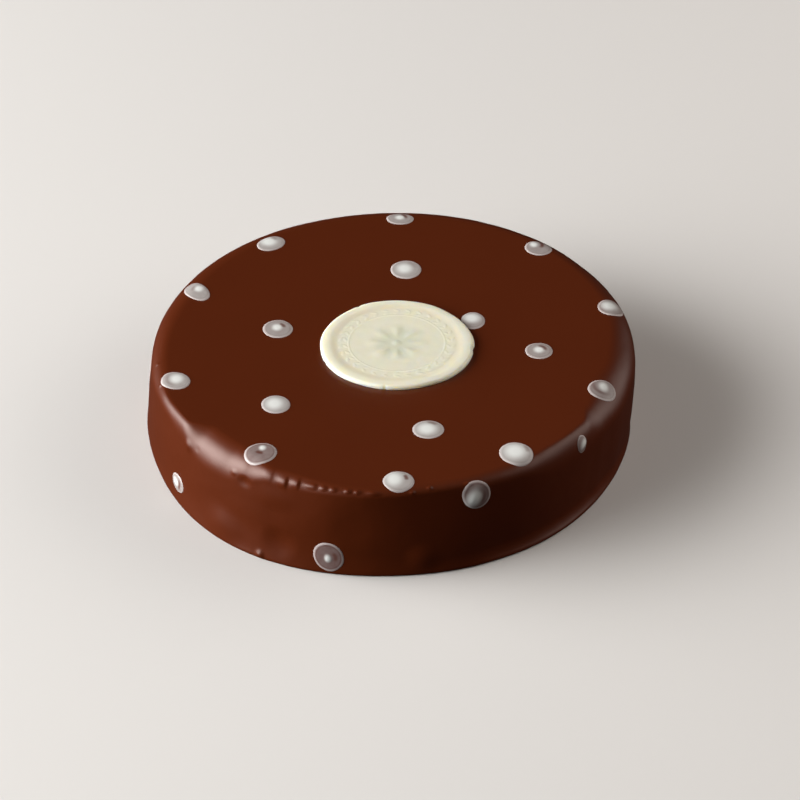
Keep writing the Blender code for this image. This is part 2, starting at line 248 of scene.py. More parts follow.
# Lumps and hollows that the poured glaze left: azimuth, reach, width on the clockwise side and on the other,
# half length down the slope, rise
lumps = (
    (75, 112 * mm, 12 * mm, 12 * mm, 12 * mm, -0.5 * mm),
    (120, 132 * mm, 9 * mm, 9 * mm, 9 * mm, 0.7 * mm),
    (160, 116 * mm, 13 * mm, 13 * mm, 13 * mm, -0.5 * mm),
    (229.5, 131 * mm, 13 * mm, 13 * mm, 11 * mm, 0.9 * mm),
    (245, 131 * mm, 9 * mm, 9 * mm, 9 * mm, -0.7 * mm),
    (262, 117 * mm, 13 * mm, 13 * mm, 13 * mm, -0.4 * mm),
    (278, 132 * mm, 9 * mm, 9 * mm, 9 * mm, 0.8 * mm),
    # the hook where the shoulder widens, and the pit under the lobe beside it
    (216.3, 106.5 * mm, 2.5 * mm, 4 * mm, 3.5 * mm, 0.45 * mm),
    (219.5, 104 * mm, 2 * mm, 2 * mm, 2 * mm, -0.12 * mm),
    (235, 107 * mm, 4.5 * mm, 4.5 * mm, 3.5 * mm, -0.5 * mm),
    (231.8, 104.5 * mm, 2 * mm, 2 * mm, 2 * mm, 0.3 * mm),
    (243, 110.5 * mm, 12 * mm, 12 * mm, 7 * mm, 0.45 * mm),
    # scallops and beads of the front edge
    (241.3, 100.5 * mm, 5 * mm, 1.8 * mm, 4.5 * mm, 0.2 * mm),
    (245.2, 101.6 * mm, 4.8 * mm, 1.5 * mm, 3.5 * mm, 0.57 * mm),
    (248.2, 101 * mm, 4.2 * mm, 1.4 * mm, 3.2 * mm, 0.54 * mm),
    (252, 100.8 * mm, 5.5 * mm, 2.5 * mm, 2 * mm, 0.45 * mm),
    (254.4, 100.9 * mm, 2.6 * mm, 2.4 * mm, 1.7 * mm, 0.42 * mm),
    (256.7, 101 * mm, 2.3 * mm, 2.4 * mm, 1.6 * mm, 0.4 * mm),
    (260, 101 * mm, 2.2 * mm, 2.4 * mm, 1.6 * mm, 0.48 * mm),
    (262.1, 101 * mm, 1.9 * mm, 2.4 * mm, 1.5 * mm, 0.46 * mm),
    (265.8, 100.9 * mm, 4 * mm, 4 * mm, 1.5 * mm, 0.45 * mm),
    (274.5, 100 * mm, 1.6 * mm, 1.6 * mm, 1.3 * mm, 0.4 * mm),
    (278.5, 98.4 * mm, 1.6 * mm, 1.6 * mm, 1.3 * mm, 0.4 * mm),
    (287.5, 98.6 * mm, 2.6 * mm, 2.2 * mm, 1.3 * mm, 0.5 * mm),
    (240.7, 139.9 * mm, 3 * mm, 2.6 * mm, 3 * mm, 0.85 * mm),
    # specks on the left edge
    (188.5, 98 * mm, 1.2 * mm, 1.2 * mm, 1.6 * mm, 0.3 * mm),
    (197.2, 99 * mm, 1.4 * mm, 1.4 * mm, 1.8 * mm, 0.35 * mm),
)


# A value of the sections' table at each azimuth, eased from one entry to the next
def aroundTorte(column, azimuth):
    table = np.array(torte["sections"])
    at = np.concatenate([table[-1:, 0] - 360, table[:, 0], table[:1, 0] + 360])
    value = np.concatenate([table[-1:, column], table[:, column], table[:1, column]])
    azimuth = np.mod(azimuth, 360)
    k = np.clip(np.searchsorted(at, azimuth, side="right") - 1, 0, len(at) - 2)
    share = (azimuth - at[k]) / (at[k + 1] - at[k])
    return value[k] + (value[k + 1] - value[k]) * (0.5 - 0.5 * np.cos(np.pi * share))


def sideRadius(azimuth, height):
    level = height / torte["height"]
    flare = aroundTorte(4, azimuth)
    base = torte["baseRadius"] + waves(torte["baseWaves"], azimuth) - flare
    top = torte["topRadius"] + waves(torte["topWaves"], azimuth)
    for at, arc, size in torte["topBulges"]:
        top = top + size * bump(azimuth - at, arc)
    belly = aroundTorte(3, azimuth) * np.sin(np.pi * level)
    foot = flare * np.clip(1 - height / aroundTorte(5, azimuth), 0, 1) ** 2
    return base * (1 - level) + top * level + belly + foot


# Rings of points down the glaze, at each azimuth of an array: top, shoulder, side, foot and underside
def glazeRings(azimuth):
    height, power, foot = torte["height"], 2 / torte["shoulderPower"], torte["footRound"]
    inset, drop = aroundTorte(1, azimuth), aroundTorte(2, azimuth)
    zeros = 0 * azimuth
    rows = []
    for share in np.arange(1, torte["topRings"]) / torte["topRings"]:
        rows.append((share * (sideRadius(azimuth, height) - inset), zeros + height))
    for share in np.arange(torte["shoulderRings"]) / torte["shoulderRings"]:
        turn = share * math.pi / 2
        up = height - drop * (1 - math.cos(turn) ** power)
        rows.append((sideRadius(azimuth, up) - inset * (1 - math.sin(turn) ** power), up))
    for share in np.arange(torte["sideRings"]) / torte["sideRings"]:
        up = foot + (height - drop - foot) * (1 - share)
        rows.append((sideRadius(azimuth, up), up))
    for share in np.arange(torte["footRings"] + 1) / torte["footRings"]:
        turn = share * math.pi / 2
        radius = sideRadius(azimuth, foot) - foot * (1 - math.cos(turn))
        rows.append((radius, zeros + foot * (1 - math.sin(turn))))
    for share in np.arange(1, torte["undersideRings"]) / torte["undersideRings"]:
        rows.append(((sideRadius(azimuth, foot) - foot) * (1 - share), zeros))
    radius, up = np.moveaxis(np.array(rows), 1, 0)
    turn = np.radians(azimuth)
    shift = torte["lean"] * (2 * up / height - 1)
    return np.stack([radius * np.cos(turn) + shift, radius * np.sin(turn), up], -1)


# How far along the glaze each ring lies from the middle of the top: an array of (ring, step)
def glazeReaches(rings):
    start = np.broadcast_to((torte["lean"], 0, torte["height"]), rings[:1].shape)
    return np.cumsum(np.linalg.norm(np.diff(np.concatenate([start, rings]), axis=0), axis=-1), axis=0)


# The point of the glaze at an azimuth and a reach, before its lumps
def glazePoint(azimuth, reach):
    rings = glazeRings(np.array([float(azimuth)]))
    rings = rings[:len(rings) + 1 - torte["undersideRings"]]
    along = np.append(0, glazeReaches(rings)[:, 0])
    line = np.concatenate([[(torte["lean"], 0, torte["height"])], rings[:, 0]])
    return np.array([np.interp(reach, along, line[:, axis]) for axis in range(3)])


def surfaceNormals(rings):
    around = np.roll(rings, -1, axis=1) - np.roll(rings, 1, axis=1)
    down = np.gradient(rings, axis=0)
    normal = np.cross(down, around)
    return normal / np.maximum(np.linalg.norm(normal, axis=-1, keepdims=True), 1e-12)


# The azimuths of the steps, which lie closer together where the edge is beaded
def torteAzimuths():
    start, end, share = torte["closeSteps"]
    before = (1 - share) * start / (360 + start - end)
    progress = np.arange(torte["steps"]) / torte["steps"]
    return np.interp(progress, (0, before, before + share, 1), (0, start, end, 360))


# How far the lumps lift each point of the glaze
def lumpRise(rings):
    rise = np.zeros(rings.shape[:2])
    for at, reach, clockwise, other, long, size in lumps:
        away = rings - glazePoint(at, reach)
        turn = math.radians(at)
        along = away @ np.array([-math.sin(turn), math.cos(turn), 0])
        down = np.sqrt(np.maximum((away ** 2).sum(-1) - along ** 2, 0))
        wide = np.where(along < 0, clockwise, other)
        rise += size * bump(np.hypot(along / wide, down / long), 1)
    return rise * np.clip(rings[..., 2] / torte["lumpFade"], 0, 1)


def makeTorte():
    azimuth = torteAzimuths()
    plain = glazeRings(azimuth)
    normal = surfaceNormals(plain)
    rings = plain + normal * lumpRise(plain)[..., None]
    mesh = polarMesh("glazedTorte", (torte["lean"], 0, torte["height"]), rings, (-torte["lean"], 0, 0))
    level = np.clip(rings[..., 2] / torte["height"] / torte["rippleFade"], None, 1)
    flat = np.clip((np.abs(normal[..., 2]) - torte["levelTop"]) / (1 - torte["levelTop"]), 0, 1)
    setFloats(mesh, "flank", [0, *(level * (1 - flat)).ravel(), 0])
    mapReaches(mesh, azimuth, glazeReaches(plain))
    return newObject("glazedTorte", mesh)


# Geometry Nodes: slow ripples and a finer unevenness in the set glaze, stronger down the side than on top
glazeSkin = {
    "Material": ("NodeSocketMaterial", None),
    "Ripple Height": ("NodeSocketFloat", 0.9 * mm),
    "Ripple Size": ("NodeSocketFloat", 26 * mm),
    "Pucker Height": ("NodeSocketFloat", 0.16 * mm),
    "Pucker Size": ("NodeSocketFloat", 6 * mm),
    "Seed": ("NodeSocketFloat", 3.0),
}


def glazeSkinTree():
    tree, given = newTree("glazeSkin", glazeSkin)
    flank = addNode(tree, "GeometryNodeInputNamedAttribute", {"Name": "flank"}, data_type="FLOAT")
    lift = 0.0
    for height, size in (("Ripple Height", "Ripple Size"), ("Pucker Height", "Pucker Size")):
        scale = addNode(tree, "ShaderNodeMath", {0: 1.0, 1: given[size]}, operation="DIVIDE")
        noise = addNode(tree, "ShaderNodeTexNoise", {
            "W": given["Seed"], "Scale": scale, "Detail": 1.0, "Roughness": 0.4}, noise_dimensions="4D")
        centred = addNode(tree, "ShaderNodeMath", {0: noise, 1: 0.5}, operation="SUBTRACT")
        lift = addNode(tree, "ShaderNodeMath", {0: centred, 1: given[height], 2: lift},
                       operation="MULTIPLY_ADD")
    masked = addNode(tree, "ShaderNodeMath", {0: lift, 1: flank}, operation="MULTIPLY")
    normal = addNode(tree, "GeometryNodeInputNormal")
    offset = addNode(tree, "ShaderNodeVectorMath", {0: normal, "Scale": masked}, operation="SCALE")
    moved = addNode(tree, "GeometryNodeSetPosition", {"Geometry": given["Geometry"], "Offset": offset})
    endTree(tree, moved, given["Material"])
    return tree


glazeFinish = {
    "Roughness": 0.4,
    "IOR": 1.4,
    "Specular Tint": (1, 0.8, 0.72, 1),
    "Coat Weight": 0.15,
    "Coat Roughness": 0.2,
    "Coat IOR": 1.38,
}
glazeLook = {
    "brown": "#4d1c05",
    "redder": "#511e06",  # in slow clouds
    "cloudSize": 35 * mm,
    "grain": 2.5 * mm,
    "grainDepth": 0.3 * mm,
    "grainStrength": 0.05,
}


# Dark chocolate glaze, poured warm and set: a deep red brown under a soft, even gloss.
def glazeMaterial():
    material, tree, shader = newMaterial("setChocolateGlaze", glazeFinish)
    place = addNode(tree, "ShaderNodeTexCoord").outputs["Object"]
    cloud = addNode(tree, "ShaderNodeTexNoise", {
        "Vector": place, "Scale": 1 / glazeLook["cloudSize"], "Detail": 3.0})
    tone = addNode(tree, "ShaderNodeMix", {
        "Factor": cloud, "A": linear(glazeLook["brown"]), "B": linear(glazeLook["redder"])}, data_type="RGBA")
    tree.links.new(tone.outputs["Result"], shader.inputs["Base Color"])
    grain = addNode(tree, "ShaderNodeTexNoise", {
        "Vector": place, "Scale": 1 / glazeLook["grain"], "Detail": 2.0})
    relief = addNode(tree, "ShaderNodeBump", {
        "Height": grain, "Strength": glazeLook["grainStrength"], "Distance": glazeLook["grainDepth"]})
    tree.links.new(relief.outputs["Normal"], shader.inputs["Normal"])
    return material


glazedTorte = makeTorte()
useTree(glazedTorte, glazeSkinTree(), dict(glazeSkin, Material=("", glazeMaterial())))
settle(glazedTorte)
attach(glazedTorte, "root")
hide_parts("torte_body")
print("torte made:", len(glazedTorte.data.polygons), "faces")


# The white dots are drops of thinned white glaze that sank into the chocolate glaze while it was warm.
# Each one's azimuth, reach, width, length and turn from straight down the slope, in mm and degrees,
# the milkiness of its ring, and as seen from above by the photo's viewer, in mm and degrees:
# its opaque core (to the right, to the back, half width, half depth, rise),
# and the dark streak round that core (direction, half arc, distance, strength)
dots = (
    (88.2, 90.9, 11.8, 8.7, 0, 0.8, (-0.1, 0.5, 2.1, 1.8, 0.1), (35, 40, 2.6, 0.9)),
    (126.2, 89, 12.9, 10.2, 0, 0.95, (-0.9, 0.8, 3.7, 3.4, 0.1), (50, 22, 3.4, 0.5)),
    (47.7, 92.4, 12, 10.9, -8, 0.7, (-1.9, 2.2, 1.8, 2.2, 0.1), (5, 40, 3.6, 0.9)),
    (84.1, 52.3, 13.1, 13.6, -5, 1.0, (-0.6, 0.3, 3.5, 3.8, 0.1), (40, 30, 4.6, 0.2)),
    (156.5, 90.3, 9.6, 15.2, 34, 0.9, (0.9, 1.3, 2.0, 2.4, 0.1), (165, 35, 2.4, 0.3)),
    (15, 94.6, 12, 11.5, 7, 0.75, (-0.7, 0.6, 3.6, 3.4, 0.1), (200, 50, 4.6, 0.25)),
    (169.7, 48.6, 12.4, 12.9, 58, 0.75, (-0.4, 0.6, 2.2, 2.5, 0.1), (35, 30, 2.9, 0.8)),
    (23.8, 36.3, 12.2, 10, 27, 0.8, (-0.6, 1.2, 3.8, 3.6, 0.1), (0, 0, 0, 0)),
    (353.5, 60.4, 11.2, 11.4, 8, 0.7, (0, 0.3, 2.3, 2.4, 0.1), (45, 45, 2.6, 0.85)),
    (197.3, 92.7, 11.3, 12.7, 55, 0.95, (0.4, 0.8, 2.9, 3.4, 0.1), (200, 60, 4.0, 0.25)),
    (338.9, 91.2, 12.6, 12.1, 16, 0.6, (0.4, 1.7, 2.1, 3.0, 0.1), (225, 70, 4.0, 0.5)),
    (222.8, 64.3, 12.2, 11.6, 23, 1.0, (-0.6, 0.1, 3.7, 4.1, 0.1), (0, 0, 0, 0)),
    (283.2, 62.1, 12.6, 12, 9, 0.9, (-0.6, 0, 4.1, 4.0, 0.1), (62, 24, 4.5, 0.6)),
    (235.4, 92.2, 12.5, 13.7, 5, 0.35, (0.7, 3.0, 1.5, 1.7, 0.15), (248, 25, 3.2, 0.9)),
    (302.7, 90.4, 13.3, 14.6, 8, 1.0, (-0.5, 1.0, 4.6, 5.0, 0.1), (20, 22, 5.0, 0.45)),
    (271.4, 93.9, 12.4, 12.5, 0, 0.95, (-1.7, 0.8, 3.5, 4.6, 0.1), (15, 18, 4.8, 0.85)),
    (289.6, 104.3, 11.4, 13.3, -28, 0.3, (-0.9, -1.3, 3.3, 4.6, 1.0), (30, 50, 4.3, 0.5)),
    (320.5, 101.3, 5.5, 7.4, 5, 0.4, (0.3, 0.5, 1.5, 2.4, 0.4), (0, 0, 0, 0)),
    (256.8, 134.2, 11.9, 14.5, -30, 0.2, (-0.4, -0.6, 1.4, 2.0, 0.3), (5, 35, 3.2, 0.75)),
    (212, 132, 9.9, 8.2, 0, 0.7, (-0.3, 0.9, 1.9, 2.2, 0.3), (300, 40, 3.2, 0.8)),
    (178, 112, 11, 12, 10, 0.7, (0.2, 0.2, 2.2, 2.6, 0.1), (130, 35, 3.0, 0.7)),
    (141, 126, 12, 13, -15, 0.9, (0, 0.8, 3.2, 3.4, 0.1), (0, 0, 0, 0)),
    (104, 108, 12, 12, 0, 1.0, (-0.5, 0.5, 3.8, 4.0, 0.1), (40, 25, 4.6, 0.6)),
    (66, 128, 10, 11, 20, 0.4, (0.3, 0, 1.6, 2.0, 0.1), (220, 40, 2.8, 0.8)),
    (28, 117, 12, 13, -10, 0.85, (0, 0.4, 3.2, 3.6, 0.1), (150, 30, 4.2, 0.4)),
)
dotLens = {
    "steps": 72,
    "rings": 24,
    "flatShare": 0.75,  # of the height: the rest is a slow dome
    "edgePower": 14,  # more is a flatter face with a steeper edge
    "domePower": 3,
    "backRings": (0.98, 0.5),
    "usualRadius": 6 * mm,  # what the lens's radius of 1 stands for in a pattern
}
dotWobble = {"size": 5.455 * mm, "spacing": 7.0}  # of the edge's noise, and how far apart the dots draw in it
dotLook = {
    "Material": ("NodeSocketMaterial", None),
    "Lens": ("NodeSocketObject", None),
    "Torte": ("NodeSocketObject", None),
    "Height": ("NodeSocketFloat", 0.4 * mm),
    "Sink": ("NodeSocketFloat", 0.3 * mm),
    "Dome Reach": ("NodeSocketFloat", 1.5),  # how far the rise over the core spreads, as a share of the core
    "Wobble": ("NodeSocketFloat", 0.06),
    "Seed": ("NodeSocketFloat", 5.0),
}


# A flat lens with a radius of 1: its face rises to a height of 1, and its back is at -1.
def makeLens():
    turn = np.arange(dotLens["steps"]) * 2 * math.pi / dotLens["steps"]
    share = np.sin(np.linspace(0, 1, dotLens["rings"] + 1)[1:] * math.pi / 2)
    flat, dome = 1 - share ** dotLens["edgePower"], 1 - share ** dotLens["domePower"]
    rise = dotLens["flatShare"] * flat + (1 - dotLens["flatShare"]) * dome
    radius = np.append(share, dotLens["backRings"])
    height = np.append(rise, [-1] * len(dotLens["backRings"]))
    rings = np.stack([np.outer(radius, np.cos(turn)), np.outer(radius, np.sin(turn)),
                      np.outer(height, np.ones(len(turn)))], -1)
    return newObject("dotLens", polarMesh("dotLens", (0, 0, 1), rings, (0, 0, -1)))


# What turns the lens's own x and y to a distance: across and down the slope in metres, and as seen by the
# viewer to the right and to the back in mm
dotWays = ("dotAcross", "dotDown", "dotRight", "dotBack")


# One point for each dot, with its place and look as attributes
def makeDotPoints():
    mesh = bpy.data.meshes.new("dotPoints")
    mesh.from_pydata([(0, 0, 0)] * len(dots), [], [])
    azimuth, reach, width, length, turn, milk = np.array([dot[:6] for dot in dots], float).T
    coreRight, coreBack, coreWidth, coreDepth, coreRise = np.array([dot[6] for dot in dots], float).T
    way, arc, distance, strength = np.array([dot[7] for dot in dots], float).T
    radius = [math.dist(glazePoint(a, r * mm)[:2], (torte["lean"], 0)) for a, r in zip(azimuth, reach)]
    azimuth, turn, way, arc = np.radians([azimuth, turn, way, arc])
    end, full = dotShading["arcFade"]
    zeros = 0 * azimuth
    across = np.stack([width / 2 * np.cos(turn), length / 2 * np.sin(turn), zeros], -1)
    down = np.stack([width / 2 * np.sin(turn), -length / 2 * np.cos(turn), zeros], -1)
    cosine, sine = np.cos(azimuth)[:, None], np.sin(azimuth)[:, None]
    for name, values in {
        "dotAzimuth": azimuth, "dotReach": reach * mm, "dotMilk": milk, "coreRise": coreRise * mm,
        # these two stay apart where there is no streak
        "streakEnd": np.cos(end * arc), "streakFull": np.cos(full * arc) + 0.001,
        "streakDistance": distance, "streakStrength": strength,
    }.items():
        setFloats(mesh, name, values)
    for name, values in {
        "dotAcross": across * (reach * mm / radius)[:, None] * mm, "dotDown": down * mm,
        "dotRight": down * cosine - across * sine, "dotBack": down * sine + across * cosine,
        "coreMiddle": np.stack([coreRight, coreBack, zeros], -1),
        "coreSize": np.stack([coreWidth, coreDepth, zeros + 1], -1),
        "streakWay": np.stack([np.cos(way), np.sin(way), zeros], -1),
    }.items():
        setVectors(mesh, name, values)
    return newObject("whiteDots", mesh)


# Geometry Nodes: a lens on every point, laid onto the glaze by its map, with the lens's own coordinates kept
def dotTree():
    tree, given = newTree("dotsOnGlaze", dotLook)
    lens = addNode(tree, "GeometryNodeObjectInfo", {"Object": given["Lens"]})
    lensPlace = addNode(tree, "GeometryNodeInputPosition")
    kept = addNode(tree, "GeometryNodeStoreNamedAttribute", {
        "Geometry": lens.outputs["Geometry"], "Name": "dotPlace", "Value": lensPlace},
        data_type="FLOAT_VECTOR")
    copies = addNode(tree, "GeometryNodeInstanceOnPoints", {"Points": given["Geometry"], "Instance": kept})
    real = addNode(tree, "GeometryNodeRealizeInstances", {"Geometry": copies})
    own = {}  # what each dot brings with it, and the torte's map
    for name in ("dotAzimuth", "dotReach", "coreRise"):
        own[name] = addNode(tree, "GeometryNodeInputNamedAttribute", {"Name": name}, data_type="FLOAT")
    for name in ("dotPlace", *dotWays, "coreMiddle", "coreSize", "reachMap"):
        own[name] = addNode(tree, "GeometryNodeInputNamedAttribute", {"Name": name}, data_type="FLOAT_VECTOR")

    # each dot's edge wobbles in its own way
    draw = addNode(tree, "ShaderNodeMath", {0: own["dotAzimuth"], 1: dotWobble["spacing"], 2: given["Seed"]},
                   operation="MULTIPLY_ADD")
    noise = addNode(tree, "ShaderNodeTexNoise", {
        "Vector": own["dotPlace"], "W": draw, "Scale": dotLens["usualRadius"] / dotWobble["size"],
        "Detail": 0.0}, noise_dimensions="4D")
    centred = addNode(tree, "ShaderNodeMath", {0: noise, 1: 0.5}, operation="SUBTRACT")
    swell = addNode(tree, "ShaderNodeMath", {0: centred, 1: given["Wobble"], 2: 1.0},
                    operation="MULTIPLY_ADD")
    swollen = addNode(tree, "ShaderNodeVectorMath", {0: own["dotPlace"], "Scale": swell}, operation="SCALE")

    # how far a point lies from its dot's middle
    off = {}
    for way in dotWays:
        measured = addNode(tree, "ShaderNodeVectorMath", {0: swollen, 1: own[way]}, operation="DOT_PRODUCT")
        off[way] = measured.outputs["Value"]
    view = addNode(tree, "ShaderNodeCombineXYZ", {0: off["dotRight"], 1: off["dotBack"]})
    known = addNode(tree, "GeometryNodeStoreNamedAttribute", {
        "Geometry": real, "Name": "dotView", "Value": view}, data_type="FLOAT_VECTOR")

    # its spot on the glaze's map
    forward = addNode(tree, "ShaderNodeMath", {0: own["dotReach"], 1: off["dotDown"]}, operation="ADD")
    turned = addNode(tree, "ShaderNodeMath", {0: off["dotAcross"], 1: forward}, operation="ARCTAN2")
    azimuth = addNode(tree, "ShaderNodeMath", {0: own["dotAzimuth"], 1: turned}, operation="ADD")
    rounds = addNode(tree, "ShaderNodeMath", {0: azimuth, 1: 2 * math.pi}, operation="DIVIDE")
    share = addNode(tree, "ShaderNodeMath", {0: rounds}, operation="FRACT")
    path = addNode(tree, "ShaderNodeCombineXYZ", {0: off["dotAcross"], 1: forward})
    reach = addNode(tree, "ShaderNodeVectorMath", {0: path}, operation="LENGTH").outputs["Value"]
    up = addNode(tree, "ShaderNodeMath", {0: reach, 1: torte["mapHeight"]}, operation="DIVIDE")
    spot = addNode(tree, "ShaderNodeCombineXYZ", {0: share, 1: up})
    ground = addNode(tree, "GeometryNodeObjectInfo", {"Object": given["Torte"]})
    found = []
    for field in ("GeometryNodeInputPosition", "GeometryNodeInputNormal"):
        found.append(addNode(tree, "GeometryNodeSampleUVSurface", {
            "Mesh": ground.outputs["Geometry"], "Value": addNode(tree, field),
            "Source UV Map": own["reachMap"], "Sample UV": spot}, data_type="FLOAT_VECTOR"))

    # the glaze is thicker over the core
    away = addNode(tree, "ShaderNodeVectorMath", {0: view, 1: own["coreMiddle"]}, operation="SUBTRACT")
    sized = addNode(tree, "ShaderNodeVectorMath", {0: away, 1: own["coreSize"]}, operation="DIVIDE")
    far = addNode(tree, "ShaderNodeVectorMath", {0: sized}, operation="LENGTH").outputs["Value"]
    dome = addNode(tree, "ShaderNodeMapRange", {
        "Value": far, "From Min": given["Dome Reach"], "From Max": 0.0}, interpolation_type="SMOOTHSTEP")
    height = addNode(tree, "ShaderNodeMath", {0: dome, 1: own["coreRise"], 2: given["Height"]},
                     operation="MULTIPLY_ADD")
    level = addNode(tree, "ShaderNodeSeparateXYZ", {0: own["dotPlace"]}).outputs[2]
    above = addNode(tree, "ShaderNodeMath", {0: level, 1: 0.0}, operation="MAXIMUM")
    below = addNode(tree, "ShaderNodeMath", {0: level, 1: 0.0}, operation="MINIMUM")
    sunk = addNode(tree, "ShaderNodeMath", {0: below, 1: given["Sink"]}, operation="MULTIPLY")
    lift = addNode(tree, "ShaderNodeMath", {0: above, 1: height, 2: sunk}, operation="MULTIPLY_ADD")
    raised = addNode(tree, "ShaderNodeVectorMath", {0: found[1], "Scale": lift}, operation="SCALE")
    landed = addNode(tree, "ShaderNodeVectorMath", {0: found[0], 1: raised}, operation="ADD")
    laid = addNode(tree, "GeometryNodeSetPosition", {"Geometry": known, "Position": landed})
    endTree(tree, laid, given["Material"])
    return tree


dotFinish = {"Roughness": 0.35, "IOR": 1.45}
dotShading = {
    "clear": "#6a4a45",  # where the brown shines through
    "milky": "#a8a29e",
    "border": "#b9aeab",
    "streak": "#5e3429",
    "core": "#dfe0dc",
    # each fade goes from none to full
    "coreFade": (1.35, 0.3),  # as a share of the core
    "lineFade": (1.3, 0.2),  # in mm off the streak's line
    "arcFade": (1.4, 0.4),  # as a share of the streak's half arc
    "borderFade": (0.83, 0.92),  # as a share of the dot
    "borderStrength": 0.7,
    "groove": 0.8,  # where a faint groove runs round, as a share of the dot
    "grooveFade": (0.07, 0.0),  # off that line
    "grooveStrength": 0.15,
    "mottle": 0.35,
    "mottleSize": 1.875 * mm,
    "torn": 0.8,  # how much of the core the streak takes away
}


# White glaze: an opaque core in a thinner, milky ring that the brown shines through, with a dark streak
# where the glaze tore, a paler border and a soft gloss.
def dotMaterial():
    material, tree, shader = newMaterial("milkyWhiteGlaze", dotFinish)
    own = {}
    for output, names in (
        ("Fac", ("dotAzimuth", "dotMilk", "streakEnd", "streakFull", "streakDistance", "streakStrength")),
        ("Vector", ("dotPlace", "dotView", "coreMiddle", "coreSize", "streakWay")),
    ):
        for name in names:
            own[name] = addNode(tree, "ShaderNodeAttribute", attribute_name=name).outputs[output]

    # how far a point lies from the core and from the streak's line, and how squarely it faces the streak
    away = addNode(tree, "ShaderNodeVectorMath", {0: own["dotView"], 1: own["coreMiddle"]},
                   operation="SUBTRACT")
    sized = addNode(tree, "ShaderNodeVectorMath", {0: away, 1: own["coreSize"]}, operation="DIVIDE")
    share = addNode(tree, "ShaderNodeVectorMath", {0: sized}, operation="LENGTH").outputs["Value"]
    distance = addNode(tree, "ShaderNodeVectorMath", {0: away}, operation="LENGTH").outputs["Value"]
    offLine = addNode(tree, "ShaderNodeMath", {0: distance, 1: own["streakDistance"]}, operation="SUBTRACT")
    offLine = addNode(tree, "ShaderNodeMath", {0: offLine}, operation="ABSOLUTE")
    outward = addNode(tree, "ShaderNodeVectorMath", {0: away}, operation="NORMALIZE")
    facing = addNode(tree, "ShaderNodeVectorMath", {0: outward, 1: own["streakWay"]}, operation="DOT_PRODUCT")
    # how far it lies from the dot's middle, and from the groove
    flat = addNode(tree, "ShaderNodeVectorMath", {0: own["dotPlace"], 1: (1, 1, 0)}, operation="MULTIPLY")
    edge = addNode(tree, "ShaderNodeVectorMath", {0: flat}, operation="LENGTH").outputs["Value"]
    offGroove = addNode(tree, "ShaderNodeMath", {0: edge, 1: dotShading["groove"]}, operation="SUBTRACT")
    offGroove = addNode(tree, "ShaderNodeMath", {0: offGroove}, operation="ABSOLUTE")
    fade = {}
    for name, value, (start, end) in (
        ("core", share, dotShading["coreFade"]),
        ("line", offLine, dotShading["lineFade"]),
        ("facing", facing.outputs["Value"], (own["streakEnd"], own["streakFull"])),
        ("groove", offGroove, dotShading["grooveFade"]),
        ("border", edge, dotShading["borderFade"]),
    ):
        fade[name] = addNode(tree, "ShaderNodeMapRange", {"Value": value, "From Min": start, "From Max": end},
                             interpolation_type="SMOOTHSTEP")

    mottle = addNode(tree, "ShaderNodeTexNoise", {
        "Vector": own["dotPlace"], "W": own["dotAzimuth"],
        "Scale": dotLens["usualRadius"] / dotShading["mottleSize"], "Detail": 3.0}, noise_dimensions="4D")
    centred = addNode(tree, "ShaderNodeMath", {0: mottle, 1: 0.5}, operation="SUBTRACT")
    milk = addNode(tree, "ShaderNodeMath", {0: centred, 1: dotShading["mottle"], 2: own["dotMilk"]},
                   operation="MULTIPLY_ADD")
    milk = addNode(tree, "ShaderNodeMath", {0: fade["groove"], 1: -dotShading["grooveStrength"], 2: milk},
                   operation="MULTIPLY_ADD")
    border = addNode(tree, "ShaderNodeMath", {0: fade["border"], 1: dotShading["borderStrength"]},
                     operation="MULTIPLY")
    line = addNode(tree, "ShaderNodeMath", {0: fade["line"], 1: own["streakStrength"]}, operation="MULTIPLY")
    streak = addNode(tree, "ShaderNodeMath", {0: fade["facing"], 1: line}, operation="MULTIPLY")
    whole = addNode(tree, "ShaderNodeMath", {0: streak, 1: -dotShading["torn"], 2: 1.0},
                    operation="MULTIPLY_ADD")
    core = addNode(tree, "ShaderNodeMath", {0: fade["core"], 1: whole}, operation="MULTIPLY")
    colour = linear(dotShading["clear"])
    for name, amount in (("milky", milk), ("border", border), ("streak", streak), ("core", core)):
        mixed = addNode(tree, "ShaderNodeMix", {"Factor": amount, "A": colour, "B": linear(dotShading[name])},
                        data_type="RGBA")
        colour = mixed.outputs["Result"]
    tree.links.new(colour, shader.inputs["Base Color"])
    return material


def makeDots():
    lens, points = makeLens(), makeDotPoints()
    given = dict(dotLook, Material=("", dotMaterial()), Lens=("", lens), Torte=("", glazedTorte))
    useTree(points, dotTree(), given)
    settle(points)
    bpy.data.objects.remove(lens)
    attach(points, "root")
    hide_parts(*[f"white_dot_{number:02d}" for number in range(1, len(dots) + 1)])
    return points


whiteDots = makeDots()
print("dots made:", len(whiteDots.data.polygons), "faces")


